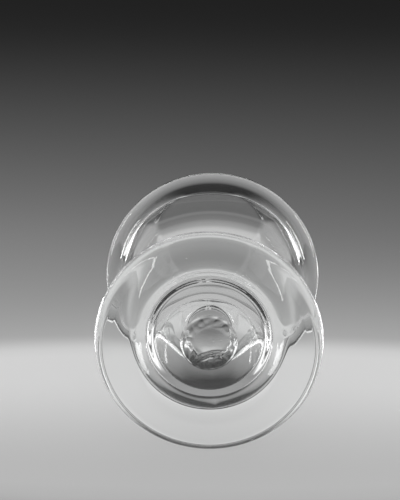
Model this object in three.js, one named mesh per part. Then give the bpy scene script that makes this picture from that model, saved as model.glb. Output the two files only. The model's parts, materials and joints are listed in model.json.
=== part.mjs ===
// A rummer: a short-stemmed drinking glass, lying on its side on a table.
//
// All sizes are in millimetres. Every piece is turned about the Y axis, with the foot's resting
// plane at y = 0 and the rim towards +Y. The finished glass is then laid on the table, z = 0,
// where it touches at two places: the edge of the foot and the lip of the flared rim.
//
// A glassmaker builds such a glass from separate gathers of hot glass, and so does this file:
// the bowl, the collar under it, the stem, the foot, and the scar of the pontil rod.

import * as THREE from 'three';

// Foot
const footRadius = 39;
const footEdgeThickness = 3.4;
const footEdgeRounding = 2.8; // how far the rounded edge reaches in from the rim of the foot
const restingWidth = 2; // the flat ring that the glass stands on
const footHollow = 2.1; // how far the underside is hollowed at its middle
const shoulderRadius = 21.5; // where the cone meets the raised middle of the foot
const shoulderHeight = 10.1;
const raisedRadius = 19.3; // the raised middle of the foot, above its steep shoulder
const raisedHeight = 16.6;
const footHeight = 20.4;

// Stem and collar
const stemRadius = 7.7; // where it leaves the foot
const stemWaist = 7.5;
const stemTopRadius = 8.5; // where it meets the collar
const stemLength = 2.7;
const collarRadius = 12.5;
const collarThickness = 3.2;

// Pontil scar, the broken glass left where the foot was held
const scarRadius = 9.8;
const scarThickness = 1.3;
const scarCraterRadius = 6;
const scarRoughness = 0.35;

// Bowl
const glassHeight = 84;
const bowlBaseRadius = 10; // where the bowl sits on the collar
const bodyRadius = 34.8; // the upright part of the bowl's outside
const rimRadius = 42.3;
const wall = 2.6; // at the neck, just under the flare
const wallAtBase = 2.8;
const floorThickness = 11;
const floorRoundness = 16; // how high the inside's round bottom reaches above its floor
const flareHeight = 6; // how far below the lip the wall starts to turn out
const lipThickness = 2.8;
const lipNose = 2.8; // how far the rounded lip reaches beyond the wall's full thickness
const lipLean = Math.PI * 0.39; // how far the wall leans out at the lip

// Flutes, the broad arched panels round the bowl
const fluteCount = 5;
const fluteDepth = 0.36; // 1 makes a panel flat across, and 0 leaves the bowl round
const fluteInside = 0.5; // how much of that depth shows on the inside
const fluteDrop = 6; // from the lip down to the crown of an arch
const archHeight = 20; // from the crown of an arch down to where two flutes meet
const archPower = 3.2; // 2 is a parabola, and higher is squarer

// Pieces are drawn with a hair of room where glass was fused to glass
const seam = 0.3;

// Every piece has the same number of flats round it, a whole even number for each flute
const flatsPerFlute = 12;
const segments = flatsPerFlute * fluteCount;
const flatAngle = 2 * Math.PI / segments;

const glass = (roughness) => new THREE.MeshStandardMaterial({
  color: 0xdfe6e4,
  roughness,
  metalness: 0,
  transparent: true,
  opacity: 0.35,
});

// Heights of the joints, stacked up from the foot
const stemBase = footHeight + seam;
const collarBase = stemBase + stemLength + seam;
const bowlBase = collarBase + collarThickness + seam;
const bowlHeight = glassHeight - bowlBase;

// Turns a closed profile of [radius, height] points about the Y axis. A flat of the turned shape
// faces straight down once the glass is laid on its side, so that it lies still.
function turned(profile) {
  const points = profile.map(([radius, height]) => new THREE.Vector2(Math.max(radius, 0), height));
  return new THREE.LatheGeometry(points, segments, flatAngle / 2, 2 * Math.PI);
}

// Points on an elliptical arc about a centre, from one angle to another, both ends included
function arc(centre, radius, rise, from, to, steps) {
  const points = [];
  for (let i = 0; i <= steps; i += 1) {
    const angle = from + (to - from) * i / steps;
    points.push([centre[0] + radius * Math.cos(angle), centre[1] + rise * Math.sin(angle)]);
  }
  return points;
}

// Points on a smooth curve through the given points, both ends included
function spline(points, steps) {
  const through = points.map(([radius, height]) => new THREE.Vector3(radius, height, 0));
  return new THREE.CatmullRomCurve3(through).getPoints(steps).map((point) => [point.x, point.y]);
}

// The foot: a hollowed underside round the scar, a flat resting ring, a rounded edge, then a
// shallow cone up to the steep shoulder of the raised middle, which carries the stem.
function footGeometry() {
  const edge = footRadius - footEdgeRounding;
  const half = footEdgeThickness / 2;
  const underside = [
    [scarRadius + 2 * seam, footHollow],
    [shoulderRadius, footHollow + 0.1],
    [25, 1.5],
    [28, 0.5],
    [edge - restingWidth, 0],
  ];
  const upperSide = [
    [edge, footEdgeThickness],
    [33, 3.85],
    [29.5, 4.4],
    [26.5, 5.8],
    [24, 7.8],
    [shoulderRadius + 0.6, shoulderHeight - 0.8],
    [shoulderRadius - 0.4, shoulderHeight + 0.8],
    [raisedRadius + 0.3, raisedHeight - 1],
    [raisedRadius - 1, raisedHeight + 0.9],
    [15, 18.6],
    [11, 19.4],
    [stemRadius, footHeight],
  ];
  return turned([
    [0, footHollow],
    ...spline(underside, 10),
    ...arc([edge, half], footEdgeRounding, half, -Math.PI / 2, Math.PI / 2, 8),
    ...spline(upperSide, 26).slice(1),
    [0, footHeight],
  ]);
}

// The stem: drawn out while soft, so its waist is thinner than its ends
function stemGeometry() {
  const side = [
    [stemRadius, stemBase],
    [stemWaist, stemBase + stemLength / 2],
    [stemTopRadius, stemBase + stemLength],
  ];
  return turned([[0, stemBase], ...spline(side, 6), [0, stemBase + stemLength]]);
}

// The collar: a flattened ring of glass with a rounded edge, between stem and bowl
function collarGeometry() {
  const half = collarThickness / 2;
  const centre = [collarRadius - half, collarBase + half];
  return turned([
    [0, collarBase],
    ...arc(centre, half, half, -Math.PI / 2, Math.PI / 2, 6),
    [0, collarBase + collarThickness],
  ]);
}

// The scar: a thin disc whose open side is broken glass, with a crater in its middle.
// The broken surface is a few waves of unlike length, which never reach the resting plane.
function scarGeometry() {
  const top = footHollow - seam;
  const rings = 5;
  const profile = [[0, top - scarThickness]];
  for (let i = 1; i <= rings; i += 1) {
    profile.push([scarRadius * i / rings, top - scarThickness]);
  }
  profile.push([scarRadius, top]);
  profile.push([0, top]);
  const geometry = turned(profile);
  const place = geometry.attributes.position;
  for (let i = 0; i < place.count; i += 1) {
    const x = place.getX(i);
    const z = place.getZ(i);
    const out = Math.hypot(x, z);
    if (place.getY(i) < top - scarThickness / 2) {
      const crater = Math.max(0, 1 - out / scarCraterRadius) * scarThickness / 2;
      const wave = Math.sin(1.3 * x + 0.4) + Math.sin(1.7 * z - 0.9 * x) + Math.cos(0.8 * z + 1.1 * x);
      place.setY(i, place.getY(i) + crater + scarRoughness * (wave + 3) / 6);
    }
  }
  return geometry;
}

// The bowl's outside before it is fluted or flared, from its base up past the lip
const body = spline([
  [bowlBaseRadius, 0],
  [17.5, 1.2],
  [27, 5.2],
  [31, 13],
  [33.8, 24],
  [bodyRadius, 34],
  [bodyRadius + 0.3, bowlHeight + 6],
], 120);

// The radius of an outline at a height. The outline's points climb without turning back.
function radiusAt(outline, height) {
  const next = Math.max(1, outline.findIndex((point) => point[1] >= height));
  const [low, high] = [outline[next - 1], outline[next]];
  return low[0] + (high[0] - low[0]) * (height - low[1]) / (high[1] - low[1]);
}

// The lip is half an ellipse, as thick as the wall there and lipNose long, which leans out with
// the wall. Its centre follows from where its outermost and topmost points have to be.
const lipHalf = lipThickness / 2;
const lipCentre = [
  rimRadius - Math.hypot(lipHalf * Math.cos(lipLean), lipNose * Math.sin(lipLean)),
  bowlHeight - Math.hypot(lipHalf * Math.sin(lipLean), lipNose * Math.cos(lipLean)),
];
const lipHeight = lipCentre[1] - lipHalf * Math.sin(lipLean);
const flareReach = lipCentre[0] + lipHalf * Math.cos(lipLean) - radiusAt(body, lipHeight);

// The flare grows by this power of its share, which makes it end with the lip's lean
const flarePower = flareHeight * Math.tan(lipLean) / flareReach;

// How far the flare has come at a height: 0 at the upright wall, 1 at the lip
function flareShare(height) {
  return Math.min(1, Math.max(0, 1 - (lipHeight - height) / flareHeight));
}

function outsideRadius(height) {
  return radiusAt(body, height) + flareReach * flareShare(height) ** flarePower;
}

// The wall's thickness, from its base past the neck to the thicker lip
function thickness(height) {
  const neck = lipHeight - flareHeight;
  const up = Math.min(1, Math.max(0, height / neck));
  return wallAtBase + (wall - wallAtBase) * up + (lipThickness - wall) * flareShare(height);
}

// The point of the inside that faces a height of the outside, straight through the wall
function insidePoint(height) {
  const step = 0.01;
  const slope = (outsideRadius(height) - outsideRadius(height - step)) / step;
  const length = Math.hypot(1, slope);
  return [
    outsideRadius(height) - thickness(height) / length,
    height + thickness(height) * slope / length,
  ];
}

// The inside as a line of points, and its radius at a height, rounded off to the bowl's floor
const insideLine = Array.from({ length: 121 }, (_, i) => insidePoint(1 + (lipHeight - 1) * i / 120));

function insideRadius(height) {
  const up = Math.min(1, Math.max(0, (height - floorThickness) / floorRoundness));
  return radiusAt(insideLine, height) * Math.sqrt(1 - (1 - up) ** 2);
}

// The height of a flute's arched edge at an angle round the bowl. The first flute's crown is half
// a flat away from the top of the glass as it lies.
function fluteAngle(angle) {
  const pitch = 2 * Math.PI / fluteCount;
  const turn = (angle + flatAngle / 2) / pitch;
  return (turn - Math.round(turn)) * pitch;
}

function archEdge(angle) {
  const share = Math.abs(fluteAngle(angle)) * fluteCount / Math.PI;
  return bowlHeight - fluteDrop - archHeight * share ** archPower;
}

// What a flute of some depth leaves of the bowl's round radius. A flute's face starts at the crown
// of the arch and sinks until two neighbours meet.
function drawnIn(angle, height, depth) {
  const down = Math.max(0, (bowlHeight - fluteDrop - height) / archHeight);
  const reach = Math.PI / fluteCount * Math.min(1, down ** (1 / archPower));
  const panel = Math.min(1, Math.cos(reach) / Math.cos(fluteAngle(angle)));
  return 1 - depth * (1 - panel);
}

// Shares from 0 to 1, closer together at both ends
function eased(steps) {
  return Array.from({ length: steps + 1 }, (_, i) => (1 - Math.cos(Math.PI * i / steps)) / 2);
}

// Points round the lip, from the outside of the wall to its inside, without the two ends
function lipPoints(steps) {
  return Array.from({ length: steps - 1 }, (_, i) => {
    const turn = Math.PI * (i + 1) / steps;
    const across = lipHalf * Math.cos(turn);
    const along = lipNose * Math.sin(turn);
    return [
      lipCentre[0] + across * Math.cos(lipLean) + along * Math.sin(lipLean),
      lipCentre[1] - across * Math.sin(lipLean) + along * Math.cos(lipLean),
    ];
  });
}

// The bowl cut through its wall at one angle: up the outside, over the lip, down the inside.
// Its rows keep to the arched edge, so that the edge is crisp all round.
function bowlOutline(angle) {
  const edge = archEdge(angle);
  const insideEdge = insidePoint(edge)[1];
  const inner = fluteDepth * fluteInside;
  const fluted = eased(15).map((share) => edge * share);
  const hollow = eased(13).map((share) => floorThickness + (insideEdge - floorThickness) * share);
  const plain = Array.from({ length: 8 }, (_, i) => edge + (lipHeight - edge) * (i + 1) / 8);
  return [
    ...fluted.map((height) => [outsideRadius(height) * drawnIn(angle, height, fluteDepth), height]),
    ...plain.map((height) => [outsideRadius(height), height]),
    ...lipPoints(8),
    ...plain.map(insidePoint).reverse(),
    ...hollow.map((height) => [insideRadius(height) * drawnIn(angle, height, inner), height])
      .slice(1)
      .reverse(),
  ];
}

// Joins the outlines at all angles into one closed skin, with a point on the axis at each end
function bowlGeometry() {
  const positions = [0, bowlBase, 0];
  const index = [];
  let rows = 0;
  for (let column = 0; column < segments; column += 1) {
    const angle = (column + 0.5) * flatAngle;
    const outline = bowlOutline(angle);
    rows = outline.length;
    outline.forEach(([radius, height]) => {
      positions.push(radius * Math.sin(angle), bowlBase + height, radius * Math.cos(angle));
    });
  }
  const floorPoint = positions.length / 3;
  positions.push(0, bowlBase + floorThickness, 0);
  for (let column = 0; column < segments; column += 1) {
    const here = 1 + column * rows;
    const next = 1 + (column + 1) % segments * rows;
    index.push(0, next, here);
    for (let row = 0; row < rows - 1; row += 1) {
      index.push(here + row, next + row, here + row + 1);
      index.push(next + row, next + row + 1, here + row + 1);
    }
    index.push(floorPoint, here + rows - 1, next + rows - 1);
  }
  const geometry = new THREE.BufferGeometry();
  geometry.setAttribute('position', new THREE.Float32BufferAttribute(positions, 3));
  geometry.setIndex(index);
  geometry.computeVertexNormals();
  return geometry;
}

const rummer = new THREE.Group();

function addPiece(name, geometry, roughness) {
  const mesh = new THREE.Mesh(geometry, glass(roughness));
  mesh.name = name;
  rummer.add(mesh);
}

addPiece('bowl', bowlGeometry(), 0.04);
addPiece('collar', collarGeometry(), 0.04);
addPiece('stem', stemGeometry(), 0.04);
addPiece('foot', footGeometry(), 0.05);
addPiece('pontil_scar', scarGeometry(), 0.3);

// Lays the glass down. It rests on the foot's edge and on the lip, each a flat of its turning,
// so the axis climbs by their difference in radius over the distance between them.
const flat = Math.cos(flatAngle / 2);
const footContact = { radius: footRadius * flat, height: footEdgeThickness / 2 };
const lipContact = { radius: rimRadius * flat, height: bowlBase + lipCentre[1] };
const climb = Math.atan2(
  lipContact.radius - footContact.radius,
  lipContact.height - footContact.height,
);
rummer.rotation.x = climb;
rummer.position.z = footContact.radius * Math.cos(climb) - footContact.height * Math.sin(climb);

// The origin is on the table, below the middle of the glass
const laid = new THREE.Group();
laid.add(rummer);
laid.updateMatrixWorld(true);
const box = new THREE.Box3().setFromObject(laid, true);
rummer.position.y -= (box.min.y + box.max.y) / 2;

export default laid;
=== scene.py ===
# %% [markdown]
# # A rummer, lying on its side
#
# A rummer is a short-stemmed drinking glass. This one is clear, hand-made glass: a blown bowl with five
# arched flutes and a flared lip, a collar, a short stem, and a wide foot with the broken scar of the
# pontil rod under it. It lies on a pale table and shows us the underside of its foot.
#
# Glass is all shape and surroundings. It has hardly a colour of its own, so what we see is the table and
# the dark room, bent by the two faces of every wall. That is why this lesson spends most of its lines on
# true curves, on walls of the right thickness, and on a studio worth looking at through them.

# %% Load the frame
import json
import math

import bpy
import numpy as np
from mathutils import Matrix, Vector, noise


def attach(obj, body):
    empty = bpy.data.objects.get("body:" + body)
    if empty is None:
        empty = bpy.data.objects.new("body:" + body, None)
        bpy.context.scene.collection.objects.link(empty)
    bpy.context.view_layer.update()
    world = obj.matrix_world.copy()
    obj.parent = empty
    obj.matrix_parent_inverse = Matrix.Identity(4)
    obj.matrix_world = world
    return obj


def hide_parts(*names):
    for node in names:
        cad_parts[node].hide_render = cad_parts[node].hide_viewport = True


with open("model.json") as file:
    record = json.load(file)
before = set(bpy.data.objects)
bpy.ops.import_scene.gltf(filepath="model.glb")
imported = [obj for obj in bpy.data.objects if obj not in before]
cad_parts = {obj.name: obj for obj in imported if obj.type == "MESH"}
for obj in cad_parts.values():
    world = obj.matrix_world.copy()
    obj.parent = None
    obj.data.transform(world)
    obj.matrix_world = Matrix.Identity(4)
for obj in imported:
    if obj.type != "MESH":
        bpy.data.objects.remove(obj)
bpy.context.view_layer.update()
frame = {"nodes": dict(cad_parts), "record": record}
mm = 0.001
print("nodes:", sorted(frame["nodes"]))

# %% [markdown]
# ## Where the glass lies
#
# The glass is easiest to draw upright in its own frame: a point is a radius and a height above the plane
# of the foot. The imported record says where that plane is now. Its mount foot_rest is a point at the side
# of the foot's resting ring, with the direction that the ring faces. So the middle of the ring has the same
# y and z, and the axis of the glass runs the other way from there.

# %% From the glass's own frame to the table
foot_rest = frame["record"]["mounts"][0]
glass_axis = -Vector(foot_rest["axis"])
foot_centre = Vector((0, foot_rest["pos_m"][1], foot_rest["pos_m"][2]))
sideways = Vector((1, 0, 0))
away_from_table = sideways.cross(glass_axis)
laid_down = Matrix((sideways, glass_axis, away_from_table)).transposed()
print("the axis climbs", round(math.degrees(math.asin(glass_axis.z)), 2), "degrees from foot to rim")


def on_table(points):
    """Lays down an array of [sideways, along the axis, up] points from the glass's own frame."""
    return points @ np.array(laid_down).T + np.array(foot_centre)


# %% [markdown]
# ## The sizes
#
# These are the sizes a glassmaker would gauge, and they follow the solids of the frame. The solids are kept
# a hair apart, though. Here each pair of neighbours meets in the middle of that hair, because fused glass
# has no gap. The edge of the foot, its raised middle, the wall and the lip are also a little fuller or
# slimmer than in the solids: light is a finer gauge than a ruler, and these sizes were set by how they
# bend it. Foot and rim are a hair smaller, so that a true circle stays inside the box of the solids, whose
# circles have flats.

# %% Sizes
foot_radius = 38.9 * mm
foot_edge_thickness = 4.4 * mm
foot_edge_rounding = 3.6 * mm
resting_width = 2 * mm
foot_hollow = 2.1 * mm
shoulder_radius = 21.5 * mm
shoulder_height = 9.9 * mm
raised_radius = 19.3 * mm
raised_height = 13.8 * mm
foot_height = 20.55 * mm

stem_waist = 7.5 * mm
stem_radius = 7.7 * mm
stem_length = 3 * mm
collar_groove = 8.5 * mm
collar_radius = 12.5 * mm
collar_thickness = 3.5 * mm

glass_height = 84 * mm
bowl_base_radius = 10 * mm
body_radius = 35.5 * mm
rim_radius = 42.19 * mm
wall = 1.6 * mm
wall_at_base = 3.3 * mm
floor_thickness = 11 * mm
floor_roundness = 16 * mm

bowl_base = foot_height + stem_length + collar_thickness
bowl_height = glass_height - bowl_base
print("the bowl is", round(bowl_height / mm, 1), "mm tall")

# %% [markdown]
# ## Curves for the outlines
#
# Every outline is a run of [radius, height] points. Two helpers draw them: an elliptical arc for the edges
# that the fire has rounded, and a natural cubic spline, which is what a thin bent strip of wood would do
# when it is held at a few points. A spline has no sudden change of curvature, and that matters more in
# glass than in any other material, because each kink would show as a line.


# %% Arc and spline
def arc(centre, radius, rise, start, end, steps):
    """Points on an elliptical arc, both ends included."""
    angle = np.linspace(start, end, steps)
    return np.stack([centre[0] + radius * np.cos(angle), centre[1] + rise * np.sin(angle)], 1)


def spline(points, steps):
    """A natural cubic spline through the points, spaced by the square root of their chords."""
    points = np.array(points, float)
    knots = np.concatenate([[0], np.cumsum(np.sqrt(np.hypot(*np.diff(points, axis=0).T)))])
    gap = np.diff(knots)
    count = len(knots)
    system = np.zeros((count, count))
    system[0, 0] = system[-1, -1] = 1
    bend = np.zeros((count, 2))
    for i in range(1, count - 1):
        system[i, i - 1 : i + 2] = gap[i - 1], 2 * (gap[i - 1] + gap[i]), gap[i]
        change = (points[i + 1] - points[i]) / gap[i] - (points[i] - points[i - 1]) / gap[i - 1]
        bend[i] = 6 * change
    bend = np.linalg.solve(system, bend)
    at = np.linspace(0, knots[-1], steps)
    i = np.clip(np.searchsorted(knots, at) - 1, 0, count - 2)
    after, before, span = (knots[i + 1] - at)[:, None], (at - knots[i])[:, None], gap[i][:, None]
    curve = (bend[i] * after**3 + bend[i + 1] * before**3) / (6 * span)
    curve += (points[i] / span - bend[i] * span / 6) * after
    return curve + (points[i + 1] / span - bend[i + 1] * span / 6) * before


def evenly(points, steps):
    """The same curve with its points at even distances."""
    along = np.concatenate([[0], np.cumsum(np.hypot(*np.diff(points, axis=0).T))])
    at = np.linspace(0, along[-1], steps)
    return np.stack([np.interp(at, along, points[:, i]) for i in (0, 1)], 1)


# %% [markdown]
# ## One way to make every piece
#
# A piece is a closed skin: a grid with a column for each angle round the axis and a row for each point of
# the outline, closed by a point on the axis at each end. All pieces have the same columns, a whole number
# of them for each of the five flutes. Where two gathers of glass were fused, their end faces touch inside
# the glass. Light doesn't notice such a face, so it gets a second material that lets everything through.
# Each piece stays a solid of its own, and the glass still looks like one.

# %% Columns
flute_count = 5
flats_per_flute = 60
columns = flats_per_flute * flute_count
turn = (np.arange(columns) + 0.5) * 2 * math.pi / columns
print(columns, "columns")


# %% The skin of a piece
def skin(name, rows, fused_rows=(), crease=30):
    """A mesh object from the rows of its outline. A row is one [radius, height] for all columns, or one
    for each. The first and last rows shrink to a point on the axis."""
    rows = np.array([np.broadcast_to(row, (columns, 2)) for row in rows])
    ring = np.stack([rows[..., 0] * np.sin(turn), rows[..., 1], rows[..., 0] * np.cos(turn)], 2)
    start, end = ring[0].mean(0), ring[-1].mean(0)
    inner = ring[1:-1]
    points = on_table(np.concatenate([[start], inner.reshape(-1, 3), [end]]))
    last = len(points) - 1
    here = np.arange(columns)
    beside = (here + 1) % columns
    faces, kinds = [], []
    for column, neighbour in zip(here, beside):
        faces.append((0, 1 + neighbour, 1 + column))
        kinds.append(int(0 in fused_rows))
    for row in range(len(inner) - 1):
        low = 1 + row * columns
        high = low + columns
        faces += [(low + i, low + j, high + j, high + i) for i, j in zip(here, beside)]
        kinds += [int(row + 1 in fused_rows)] * columns
    top = 1 + (len(inner) - 1) * columns
    for column, neighbour in zip(here, beside):
        faces.append((last, top + column, top + neighbour))
        kinds.append(int(len(inner) in fused_rows))
    mesh = bpy.data.meshes.new(name)
    mesh.from_pydata(points.tolist(), [], faces)
    mesh.polygons.foreach_set("material_index", kinds)
    mesh.polygons.foreach_set("use_smooth", [True] * len(faces))
    mesh.set_sharp_from_angle(angle=math.radians(crease))
    mesh.update()
    piece = bpy.data.objects.new(name, mesh)
    bpy.context.scene.collection.objects.link(piece)
    print(name, "has", len(faces), "faces")
    return piece


# %% [markdown]
# ## The foot
#
# The foot is a disc with a hollowed underside, so that it stands on a narrow ring and the scar in its
# middle stays clear of the table. Its upper side climbs in a shallow cone, steps up at the shoulder and
# goes on as a steeper cone to the stem. Seen from below, the step is where the glass starts to mirror
# instead of showing what is behind it, and it draws the sharp ring round the middle of the picture. The
# steeper cone inside the ring turns the dark room into the dark patch below the scar.

# %% Foot
edge_middle = foot_radius - foot_edge_rounding
ring_inside = edge_middle - resting_width
underside = spline(
    [
        (0, foot_hollow),
        (10 * mm, foot_hollow),
        (shoulder_radius, foot_hollow + 0.1 * mm),
        (25 * mm, 1.5 * mm),
        (28 * mm, 0.5 * mm),
        (ring_inside, 0),
    ],
    90,
)
foot_edge = arc(
    (edge_middle, foot_edge_thickness / 2),
    foot_edge_rounding,
    foot_edge_thickness / 2,
    -math.pi / 2,
    math.pi / 2,
    21,
)
upper_side = spline(
    [
        (edge_middle, foot_edge_thickness),
        (33 * mm, 4.6 * mm),
        (29.5 * mm, 5 * mm),
        (26.5 * mm, 6 * mm),
        (24 * mm, 7.8 * mm),
        (shoulder_radius + 0.6 * mm, shoulder_height - 0.8 * mm),
        (shoulder_radius - 0.4 * mm, shoulder_height + 0.5 * mm),
        (raised_radius + 0.3 * mm, raised_height - 1 * mm),
        (raised_radius - 1 * mm, raised_height + 0.3 * mm),
        (15 * mm, 16.6 * mm),
        (11 * mm, 19 * mm),
        (stem_radius, foot_height),
    ],
    190,
)
foot_rows = [*underside, *foot_edge, *upper_side[1:], (0, foot_height)]
foot = skin("foot_glass", foot_rows, fused_rows=[len(foot_rows) - 2])

# %% [markdown]
# ## Stem and collar
#
# The stem is drawn out between the foot and the bowl while it is soft, so it is thinnest at its middle. The
# collar is a ring of glass flattened between them, with a full round edge.

# %% Stem
stem_top = foot_height + stem_length
stem_side = spline(
    [
        (stem_radius, foot_height),
        (stem_waist, foot_height + stem_length / 2),
        (collar_groove, stem_top),
    ],
    24,
)
stem_rows = [(0, foot_height), *stem_side, (0, stem_top)]
stem = skin("stem_glass", stem_rows, fused_rows=[0, len(stem_rows) - 2])

# %% Collar
collar_half = collar_thickness / 2
collar_edge = arc(
    (collar_radius - collar_half, stem_top + collar_half),
    collar_half,
    collar_half,
    -math.pi / 2,
    math.pi / 2,
    21,
)
collar_rows = [
    (0, stem_top),
    (collar_groove, stem_top),
    *collar_edge,
    (bowl_base_radius, bowl_base),
    (0, bowl_base),
]
collar = skin("collar_glass", collar_rows, fused_rows=[0, len(collar_rows) - 2])

# %% [markdown]
# ## The bowl's flutes
#
# The bowl is blown into a mould with five flutes, each with an arch at its top, and then opened at the
# rim. Above the arches the wall is round and turns out to the lip. Below each arch it is drawn in to a
# panel that is nearly flat across, and both faces of the wall follow it. One outline for all angles gives
# this: the round radius, times a share that is 1 above the arch and falls below it. The share has to change
# softly at the arch, as the fire leaves it, and softness is the width of that change.

# %% Flutes
flute_depth = 0.36
flute_softness = 0.004
flute_drop = 6 * mm
arch_height = 20 * mm
arch_power = 3.2
flute_turn = math.radians(-1.7)
half_pitch = math.pi / flute_count
from_middle = (turn - flute_turn + half_pitch) % (2 * half_pitch) - half_pitch
print("each flute is", round(math.degrees(2 * half_pitch)), "degrees wide")


def drawn_in(height):
    """What the flutes leave of the round wall at a height above the bowl's base, for each column."""
    down = max(0, (bowl_height - flute_drop - height) / arch_height)
    reach = half_pitch * min(1, down) ** (1 / arch_power)
    less = flute_depth * (1 - math.cos(reach) / np.cos(from_middle))
    return 1 + flute_softness / 2 - (less + np.sqrt(less**2 + flute_softness**2)) / 2


def fluted(outline):
    """Rows for every column: the outline drawn in by the flutes, set on top of the collar."""
    return [
        np.stack([radius * drawn_in(height), np.full(columns, bowl_base + height)], 1)
        for radius, height in outline
    ]


# %% [markdown]
# ## The bowl's outside
#
# The wall stands nearly upright from a broad curve at its base. Its last few millimetres turn out in a
# flare, which is a power of the height: nothing where it starts, and leaning as far over as the lip where
# it ends. The lip is a fat half ellipse across the end of the wall. It has to be placed first, from the rim
# that it has to reach, because the flare must arrive at its outer corner.

# %% Where the lip sits
lip_thickness = 5 * mm
lip_nose = 3.75 * mm
lip_lean = math.radians(69)
lip_half = lip_thickness / 2
along_wall = np.array([math.sin(lip_lean), math.cos(lip_lean)])
across_wall = np.array([math.cos(lip_lean), -math.sin(lip_lean)])
lip_reach = np.hypot(lip_half * across_wall, lip_nose * along_wall)
lip_centre = np.array([rim_radius, bowl_height]) - lip_reach
lip_start = lip_centre + lip_half * across_wall
lip_turn = np.linspace(0, math.pi, 21)[1:-1, None]
lip = lip_centre + lip_half * np.cos(lip_turn) * across_wall + lip_nose * np.sin(lip_turn) * along_wall
print("the lip starts", round((bowl_height - lip_start[1]) / mm, 1), "mm below the rim")

# %% Outside
upright = spline(
    [
        (bowl_base_radius, 0),
        (17.5 * mm, 1.2 * mm),
        (27 * mm, 5.2 * mm),
        (31 * mm, 13 * mm),
        (33 * mm, 24 * mm),
        (body_radius, 34 * mm),
        (body_radius + 0.3 * mm, bowl_height + 6 * mm),
    ],
    400,
)
upright = evenly(upright[upright[:, 1] <= lip_start[1]], 150)
upright[-1, 1] = lip_start[1]
flare_height = 3 * mm
flare_foot = lip_start[1] - flare_height
flare_reach = lip_start[0] - upright[-1, 0]
flare_power = flare_height * math.tan(lip_lean) / flare_reach
flare_share = np.clip((upright[:, 1] - flare_foot) / flare_height, 0, 1)
outside = upright + np.outer(flare_reach * flare_share**flare_power, [1, 0])
print("the flare stands out", round(flare_reach / mm, 2), "mm, by the power", round(flare_power, 2))

# %% [markdown]
# ## The bowl's inside
#
# The inside is the outside moved in by the thickness of the wall, measured square to it. The wall gets
# thinner upwards, as a bubble does where it is stretched most, and fills out again to the lip. At the
# bottom a thick floor of glass stays, and the cavity rounds in to it.

# %% Inside
along = np.gradient(outside, axis=0)
inwards = np.stack([-along[:, 1], along[:, 0]], 1) / np.hypot(*along.T)[:, None]
up_the_wall = np.clip(outside[:, 1] / flare_foot, 0, 1)
thickness = wall_at_base + (wall - wall_at_base) * up_the_wall + (lip_thickness - wall) * flare_share
cavity_wall = outside + inwards * thickness[:, None]
climb = 1 - np.cos(np.linspace(0, math.pi / 2, 110))
cavity_height = floor_thickness + (cavity_wall[-1, 1] - floor_thickness) * climb
order = np.argsort(cavity_wall[:, 1])
cavity_radius = np.interp(cavity_height, cavity_wall[order, 1], cavity_wall[order, 0])
rounding = np.clip((cavity_height - floor_thickness) / floor_roundness, 0, 1)
cavity_radius *= np.sqrt(1 - (1 - rounding) ** 2)
cavity = np.stack([cavity_radius, cavity_height], 1)
print("the cavity is", round(np.ptp(cavity_height) / mm, 1), "mm deep")

# %% Bowl
bowl_rows = [
    (0, bowl_base),
    *fluted(outside),
    *(lip + (0, bowl_base)),
    *fluted(cavity[::-1]),
]
bowl = skin("bowl_glass", bowl_rows, fused_rows=[0])

# %% [markdown]
# ## The pontil scar
#
# While the bowl was being shaped the glass was held by a rod stuck to its foot. Knocking the rod off left
# a disc of broken glass. The tear took a smooth shell out of its middle, which is now the clear window that
# we look through. Round it the break has ripples, as a shell has, and under the window three sharp clefts
# run side by side. Noise folded at zero gives the rest: smooth hollows, and creases where they meet. The
# marks are small, so their measures are in millimetres.

# %% Measures of the break
scar_radius = 9.8 * mm
scar_stands_out = 0.9 * mm
scar_edge_width, scar_edge_height = 0.9 * mm, 0.4 * mm
window_middle, window_reach, window_depth = (0.6, 0.8), (5.8, 4.8), 0.35
window_slope, window_edge = (1.1, 0.2), (0.9, 1.2)
ripple_middle, ripple_spacing, ripple_depth = (7.5, -6), 2.3, 0.12
fold_size, fold_slice, fold_depth = 3.4, 0.7, 0.5
cleft_width, cleft_depth, cleft_bow = 0.3, 0.45, 0.03
clefts = ((3.3, 0.26, 4.6), (4.4, 0.33, 4.0), (5.4, 0.36, 3.0))
deepest = 0.8
least_glass = 0.05 * mm
first_ring, scar_rings = 0.3 * mm, 44
print("the break stands out", round(scar_stands_out / mm, 1), "mm and has", len(clefts), "clefts")


# %% Relief of the break
def eased(value, start, end):
    """0 before the start, 1 after the end, and smooth between them."""
    share = np.clip((value - start) / (end - start), 0, 1)
    return share * share * (3 - 2 * share)


def break_relief(points):
    """How far the break stands back into the glass at each point, in mm."""
    x, y = points.T / mm
    from_window = np.sqrt(
        ((x - window_middle[0]) / window_reach[0]) ** 2 + ((y - window_middle[1]) / window_reach[1]) ** 2
    )
    from_ripples = np.hypot(x - ripple_middle[0], y - ripple_middle[1])
    ripples = 0.5 + 0.5 * np.sin(math.tau * from_ripples / ripple_spacing)
    spots = [Vector((a / fold_size, b / fold_size, fold_slice)) for a, b in zip(x, y)]
    folds = np.array([abs(noise.noise(spot)) for spot in spots])
    relief = eased(from_window, *window_edge) * (ripple_depth * ripples + fold_depth * folds)
    relief += window_depth * eased(from_window, *window_slope)
    for drop, lean, length in clefts:
        beside = y + drop - lean * x + cleft_bow * x**2
        relief += cleft_depth * np.exp(-((beside / cleft_width) ** 2) - (x / length) ** 4)
    return relief


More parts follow.
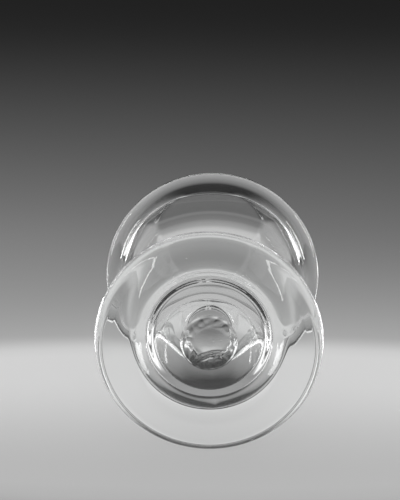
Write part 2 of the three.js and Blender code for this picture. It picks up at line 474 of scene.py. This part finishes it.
# %% Scar
def scar_rows():
    """The broken face from its middle outwards, then the fused face that the foot covers."""
    outermost = foot_hollow - scar_stands_out
    innermost = foot_hollow - least_glass
    rows = [(0, outermost + break_relief(np.zeros((1, 2)))[0] * mm)]
    for radius in np.linspace(first_ring, scar_radius, scar_rings):
        spots = np.stack([radius * np.sin(turn), radius * np.cos(turn)], 1)
        edge = scar_edge_height * eased(radius, scar_radius - scar_edge_width, scar_radius)
        heights = outermost + np.minimum(break_relief(spots), deepest) * mm + edge
        rows.append(np.stack([np.full(columns, radius), np.minimum(heights, innermost)], 1))
    return [*rows, (scar_radius, foot_hollow), (0, foot_hollow)]


made_rows = scar_rows()
scar = skin("pontil_scar_glass", made_rows, fused_rows=[len(made_rows) - 2], crease=20)

# %% [markdown]
# ## Shader maths as plain Python
#
# Node trees are easier to read as formulas. Wire wraps one socket, and the Python operators on it add the
# Math nodes. Every other kind of node comes from its method node, which takes the type, the settings and
# the inputs. Two kinds come up so often here that they have a method of their own.


# %% Wire
class Wire:
    """One socket of a shader tree, which Python operators turn into further nodes."""

    def __init__(self, tree, socket=None):
        self.tree = tree
        self.socket = socket

    def node(self, kind, settings=None, inputs=None, output=0):
        """Adds a node, sets it up, and fills its inputs with values or links."""
        made = self.tree.nodes.new(kind)
        for name, value in (settings or {}).items():
            setattr(made, name, value)
        for name, value in (inputs or {}).items():
            if isinstance(value, Wire):
                self.tree.links.new(value.socket, made.inputs[name])
            else:
                made.inputs[name].default_value = value
        return Wire(self.tree, made.outputs[output] if made.outputs else None)

    def axis(self, letter):
        """The X, Y or Z of a vector."""
        return self.node("ShaderNodeSeparateXYZ", inputs={"Vector": self}, output=letter)

    def smooth(self, start, end):
        """0 before the start, 1 after the end, and smooth between them."""
        settings = {"interpolation_type": "SMOOTHSTEP"}
        return self.node("ShaderNodeMapRange", settings, {0: self, 1: start, 2: end})

    def maths(self, operation, first, second):
        return self.node("ShaderNodeMath", {"operation": operation}, {0: first, 1: second})

    def __abs__(self):
        return self.node("ShaderNodeMath", {"operation": "ABSOLUTE"}, {0: self})

    def __add__(self, other):
        return self.maths("ADD", self, other)

    def __rsub__(self, other):
        return self.maths("SUBTRACT", other, self)

    def __mul__(self, other):
        return self.maths("MULTIPLY", self, other)

    def __truediv__(self, other):
        return self.maths("DIVIDE", self, other)

    def __pow__(self, other):
        return self.maths("POWER", self, other)

    __radd__ = __add__
    __rmul__ = __mul__


def new_material(name):
    """An empty material and the Wire that starts its tree."""
    material = bpy.data.materials.new(name)
    material.use_nodes = True
    material.node_tree.nodes.clear()
    return material, Wire(material.node_tree)


# %% [markdown]
# ## Clear glass
#
# Old clear glass is colourless with a breath of grey, and its fire-polished skin is never quite flat: the
# tools leave faint waves, and seeds, the small bubbles of poor melts, open to the surface here and there.
# Both are a low bump, the waves of noise and the seeds of points scattered by a Voronoi pattern. Lamps
# reach through clear glass to the table, which a path tracer is slow to find out, so rays from lamps pass
# a Transparent shader instead.

# %% Measures of the glass
glass_tint = (0.975, 0.98, 0.978, 1)
glass_shadow = (0.86, 0.87, 0.865, 1)
glass_index = 1.52
seed_spacing = 9 * mm
seed_share = 0.05
seed_depth = 4
print("seeds are about", round(2 * seed_share * seed_spacing / mm, 1), "mm wide")


# %% Glass materials
def glass(name, wave_size, wave_height, roughness):
    """Clear glass with waves of that size and height on its surface, and a few open seeds."""
    material, start = new_material(name)
    place = start.node("ShaderNodeNewGeometry", output="Position")
    waves = start.node(
        "ShaderNodeTexNoise",
        {"noise_dimensions": "3D"},
        {"Vector": place, "Scale": 1 / wave_size, "Detail": 2.0, "Roughness": 0.45},
    )
    from_seed = start.node(
        "ShaderNodeTexVoronoi",
        inputs={"Vector": place, "Scale": 1 / seed_spacing},
        output="Distance",
    )
    height = waves + from_seed.smooth(0, seed_share) * seed_depth
    bump = start.node("ShaderNodeBump", inputs={"Height": height, "Distance": wave_height, "Strength": 1.0})
    body = start.node(
        "ShaderNodeBsdfPrincipled",
        inputs={
            "Base Color": glass_tint,
            "Roughness": roughness,
            "IOR": glass_index,
            "Transmission Weight": 1.0,
            "Normal": bump,
        },
    )
    let_through = start.node("ShaderNodeBsdfTransparent", inputs={"Color": glass_shadow})
    lamp_ray = start.node("ShaderNodeLightPath", output="Is Shadow Ray")
    mixed = start.node("ShaderNodeMixShader", inputs={0: lamp_ray, 1: body, 2: let_through})
    start.node("ShaderNodeOutputMaterial", inputs={"Surface": mixed})
    return material


clear_glass = glass("clear_glass", wave_size=14 * mm, wave_height=0.03 * mm, roughness=0.0)
broken_glass = glass("broken_glass", wave_size=2.5 * mm, wave_height=0.05 * mm, roughness=0.04)

fused, start = new_material("fused_inside")
let_all_through = start.node("ShaderNodeBsdfTransparent", inputs={"Color": (1, 1, 1, 1)})
start.node("ShaderNodeOutputMaterial", inputs={"Surface": let_all_through})
print("materials:", [material.name for material in bpy.data.materials])

# %% [markdown]
# ## The pieces on their body
#
# Nothing on a drinking glass moves, so every piece rides on the one body, root, and stands for the solid
# whose place it takes. The glass comes first among its materials, because that is what its faces have
# unless they are fused.

# %% Dress, ride, replace, slot
for piece, node, slot, material in (
    (bowl, "bowl", "clear_glass", clear_glass),
    (collar, "collar", "clear_glass", clear_glass),
    (stem, "stem", "clear_glass", clear_glass),
    (foot, "foot", "clear_glass", clear_glass),
    (scar, "pontil_scar", "broken_glass", broken_glass),
):
    piece.data.materials.append(material)
    piece.data.materials.append(fused)
    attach(piece, "root")
    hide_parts(node)
    print(piece.name, "stands for", node)

# %% [markdown]
# ## The camera
#
# The picture was taken from the foot's side, a little above the table and a hair to the right of the axis.
# Three numbers place the camera: how wide the foot looks, where its middle is in the picture, and how
# steeply we look along the axis.

# %% Camera
picture_width, picture_height = 400, 500
focal_pixels = 1300
foot_width_pixels = 229.6
foot_middle_pixel = (209.3, 344.6)
angle_to_axis = math.radians(19.2)
camera_azimuth = math.radians(0.98)

camera_distance = 2 * foot_radius * focal_pixels / foot_width_pixels
camera_elevation = angle_to_axis - math.asin(glass_axis.z)
towards_camera = Vector(
    (
        math.sin(camera_azimuth) * math.cos(camera_elevation),
        -math.cos(camera_azimuth) * math.cos(camera_elevation),
        math.sin(camera_elevation),
    )
)
beside_middle = foot_middle_pixel[0] - picture_width / 2
below_middle = foot_middle_pixel[1] - picture_height / 2
look_down = camera_elevation - math.atan(below_middle / focal_pixels)
look_left = math.atan(beside_middle / focal_pixels * math.cos(look_down))
camera_data = bpy.data.cameras.new("camera")
camera_data.sensor_width = 36
camera_data.lens = focal_pixels / picture_height * camera_data.sensor_width
camera_data.clip_start, camera_data.clip_end = 0.01, 100
camera = bpy.data.objects.new("camera", camera_data)
camera.location = foot_centre + towards_camera * camera_distance
camera.rotation_euler = (math.pi / 2 - look_down, 0, camera_azimuth + look_left)
bpy.context.scene.collection.objects.link(camera)
bpy.context.scene.camera = camera
print("the camera is", round(camera_distance, 3), "m from the foot")
print("it stands", round(math.degrees(camera_elevation), 1), "degrees above the table")

# %% [markdown]
# ## The floor
#
# The table is pale round the glass and falls off to dark grey far behind it, which gives the glass a
# bright lower half and a dark upper half to bend. The floor is a plain disc, so the fall-off is in its
# colour. Greys are written here as the display shows them, from 0 to 255, because that is how the eye
# judges an even fade.

# %% Floor
floor_radius, floor_sides = 9.0, 96
floor_mesh = bpy.data.meshes.new("floor")
corners = [math.tau * i / floor_sides for i in range(floor_sides)]
floor_mesh.from_pydata(
    [(floor_radius * math.cos(corner), floor_radius * math.sin(corner), 0) for corner in corners],
    [],
    [range(floor_sides)],
)
floor = bpy.data.objects.new("floor", floor_mesh)
bpy.context.scene.collection.objects.link(floor)
print("the floor is", 2 * floor_radius, "m across")


def as_light(level):
    """The light of a grey that the display shows at a level, for a number or a Wire. Not for near black."""
    return ((level / 255 + 0.055) / 1.055) ** 2.4


# %% [markdown]
# ## The floor's colour
#
# With every tenfold distance the grey falls by the same step, until it settles softly at the darkest grey.
# Round the glass a pale patch of light is painted into the colour. The distance is measured on wide ovals,
# so that the pale part reaches past both sides of the picture. Far away the right side gets a little
# painted shade, as if the light fell off to the right, and the table in front of the glass is a little
# darker too.
# Three quarters of the colour is shown as it is to the rays that see it, and a quarter is lit, which is
# what keeps the shadow.

# %% Fall-off
middle_reach, middle_grey = 0.163, 150
grey_per_tenfold = 101
darkest_grey, settling = 31, 20
# Painted light: a pale patch round the glass, fading out between these two distances.
painted_pool_inside, painted_pool_outside, painted_pool_grey = 0.08, 0.105, 28
palest_grey = 214
oval = (0.4, 1, 1)
# Painted shade: far away the right side of the table is darker, as if the light fell off there.
right_painted_shade, right_softness, right_start, right_end = 0.35, 0.1, 0.1, 0.35
front_loss, front_start, front_end = 0.25, -0.04, 0.06
shown_share = 0.75

floor_material, start = new_material("floor_paper")
place = start.node("ShaderNodeNewGeometry", output="Position")
on_oval = start.node("ShaderNodeVectorMath", {"operation": "MULTIPLY"}, {0: place, 1: oval})
away = start.node("ShaderNodeVectorMath", {"operation": "LENGTH"}, {0: on_oval}, output="Value")
tenfolds = start.maths("LOGARITHM", away / middle_reach, 10.0)
above_darkest = middle_grey - darkest_grey - grey_per_tenfold * tenfolds
level = darkest_grey + (above_darkest + (above_darkest * above_darkest + settling**2) ** 0.5) / 2
# Painted light round the glass, added to the grey.
painted_light_pool = 1 - away.smooth(painted_pool_inside, painted_pool_outside)
level = start.maths("MINIMUM", level + painted_light_pool * painted_pool_grey, palest_grey)
to_the_right = place.axis("X") / (away + right_softness)
# Painted shade, darker towards the right far from the glass.
right = right_painted_shade * to_the_right * away.smooth(right_start, right_end)
front = front_loss * (place.axis("Y") * -1.0).smooth(front_start, front_end)
colour = as_light(level) * (1 - right) * (1 - front)
print("the floor fades from grey", palest_grey, "to", darkest_grey)

# %% Floor material
paper = start.node("ShaderNodeBsdfDiffuse", inputs={"Color": colour})
shown = start.node("ShaderNodeEmission", inputs={"Color": colour})
seen = start.node("ShaderNodeLightPath", output="Is Camera Ray")
mirrored = start.node("ShaderNodeLightPath", output="Is Glossy Ray")
through = start.node("ShaderNodeLightPath", output="Is Transmission Ray")
share = (seen + mirrored + through) * shown_share
mixed = start.node("ShaderNodeMixShader", inputs={0: share, 1: paper, 2: shown})
start.node("ShaderNodeOutputMaterial", inputs={"Surface": mixed})
floor_mesh.materials.append(floor_material)
print("material:", floor_material.name)

# %% [markdown]
# ## Soft boxes
#
# Two tall soft boxes stand low at the sides. Glass needs its light from the sides: they draw the bright
# streaks on the rim and on the foot's edge, and leave the middle clear.

# %% Soft boxes
box_width, box_height, box_power = 0.12, 0.5, 1.3
box_distance, box_elevation = 0.9, math.radians(12)
glass_middle = Vector((0, 0, 0.04))


def soft_box(name, side):
    """A soft box that faces the glass, on one side of it."""
    lamp = bpy.data.lights.new(name, "AREA")
    lamp.shape = "RECTANGLE"
    lamp.size, lamp.size_y = box_width, box_height
    lamp.energy = box_power
    box = bpy.data.objects.new(name, lamp)
    outwards = Vector((side * math.cos(box_elevation), 0, math.sin(box_elevation)))
    box.location = glass_middle + outwards * box_distance
    box.rotation_euler = (-outwards).to_track_quat("-Z", "Y").to_euler()
    bpy.context.scene.collection.objects.link(box)
    return box


soft_boxes = [soft_box("soft_box_left", -1), soft_box("soft_box_right", 1)]
print("lights:", [box.name for box in soft_boxes])

# %% [markdown]
# ## The room
#
# The world has three faces. It lights dull surfaces with an even glow. The camera sees plain dark grey
# behind the floor's end. Mirrors and glass see a room: dark behind the glass, bright at both sides as if
# by windows, and a little light from the viewer's side and the ceiling. This room makes the drawing in the
# glass. Where a wall bends our view to the back it goes dark, and where it bends it sideways it lights up.

# %% Room
windows_light, windows_start, windows_end = 1.1, 0.4, 0.75
viewer_light, viewer_start, viewer_end = 0.3, 0.0, 0.9
ceiling_light, ceiling_start, ceiling_end = 0.1, 0.4, 0.9
dim_light = 0.013
glow_light = 0.75

world = bpy.data.worlds.new("studio")
world.use_nodes = True
world.node_tree.nodes.clear()
start = Wire(world.node_tree)
direction = start.node("ShaderNodeTexCoord", output="Generated")
windows = abs(direction.axis("X")).smooth(windows_start, windows_end)
viewer = (direction.axis("Y") * -1.0).smooth(viewer_start, viewer_end)
ceiling = direction.axis("Z").smooth(ceiling_start, ceiling_end)
room_light = windows * windows_light + viewer * viewer_light + ceiling * ceiling_light + dim_light
print("the room has light from", windows_light, "at the sides to", dim_light, "at the back")

# %% World
behind = as_light(darkest_grey)
dark = start.node("ShaderNodeBackground", inputs={"Color": (behind, behind, behind, 1)})
room = start.node("ShaderNodeBackground", inputs={"Color": room_light})
glow = start.node("ShaderNodeBackground", inputs={"Color": (glow_light, glow_light, glow_light, 1)})
seen = start.node("ShaderNodeLightPath", output="Is Camera Ray")
mirrored = start.node("ShaderNodeLightPath", output="Is Glossy Ray")
through = start.node("ShaderNodeLightPath", output="Is Transmission Ray")
lit = start.node("ShaderNodeMixShader", inputs={0: mirrored + through, 1: glow, 2: room})
mixed = start.node("ShaderNodeMixShader", inputs={0: seen, 1: lit, 2: dark})
start.node("ShaderNodeOutputWorld", inputs={"Surface": mixed})
bpy.context.scene.world = world
print("world:", world.name)

# %% [markdown]
# ## Long paths
#
# A ray that goes along the glass crosses many faces: two for each wall, and more where it is mirrored
# inside. If its path is cut short it comes back black, so the bounce counts are well above the defaults.

# %% Render settings
scene = bpy.context.scene
scene.view_settings.view_transform = "Standard"
scene.cycles.max_bounces = 24
scene.cycles.transmission_bounces = 24
scene.cycles.glossy_bounces = 12
scene.cycles.transparent_max_bounces = 48
print("bounces:", scene.cycles.max_bounces)
